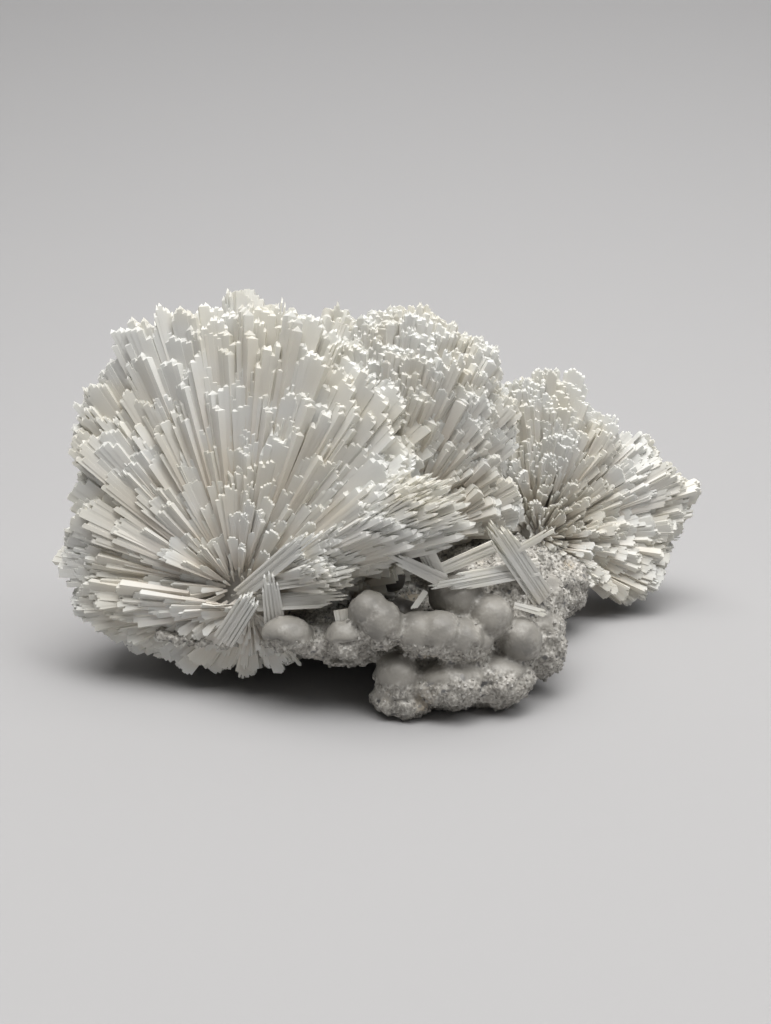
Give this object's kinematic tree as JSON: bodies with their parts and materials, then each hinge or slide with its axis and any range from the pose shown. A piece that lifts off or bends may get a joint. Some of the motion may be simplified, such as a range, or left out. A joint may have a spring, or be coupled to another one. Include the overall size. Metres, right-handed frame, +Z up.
{
  "type": "calcite cluster",
  "caption": "Natural mineral specimen: sprays of white bladed crystals that radiate from their foci, on a lump of grey botryoidal rock with a small vug.",
  "frame": {"origin": "on the surface that the cluster rests on, under the middle of its bounding box", "axes": "+X along the cluster, to the right as the open fan is seen; +Y to the back; +Z up"},
  "size_m": [0.1717, 0.1003, 0.0915],
  "materials": {
    "crystal_white": "translucent milky crystal, vitreous to satin",
    "rock_grey": "waxy grey botryoidal crust with sugary broken faces"
  },
  "bodies": {
    "root": {"main_spray": "crystal_white", "right_spray": "crystal_white", "vug_crystals": "crystal_white", "matrix": "rock_grey"}
  },
  "joints": []
}
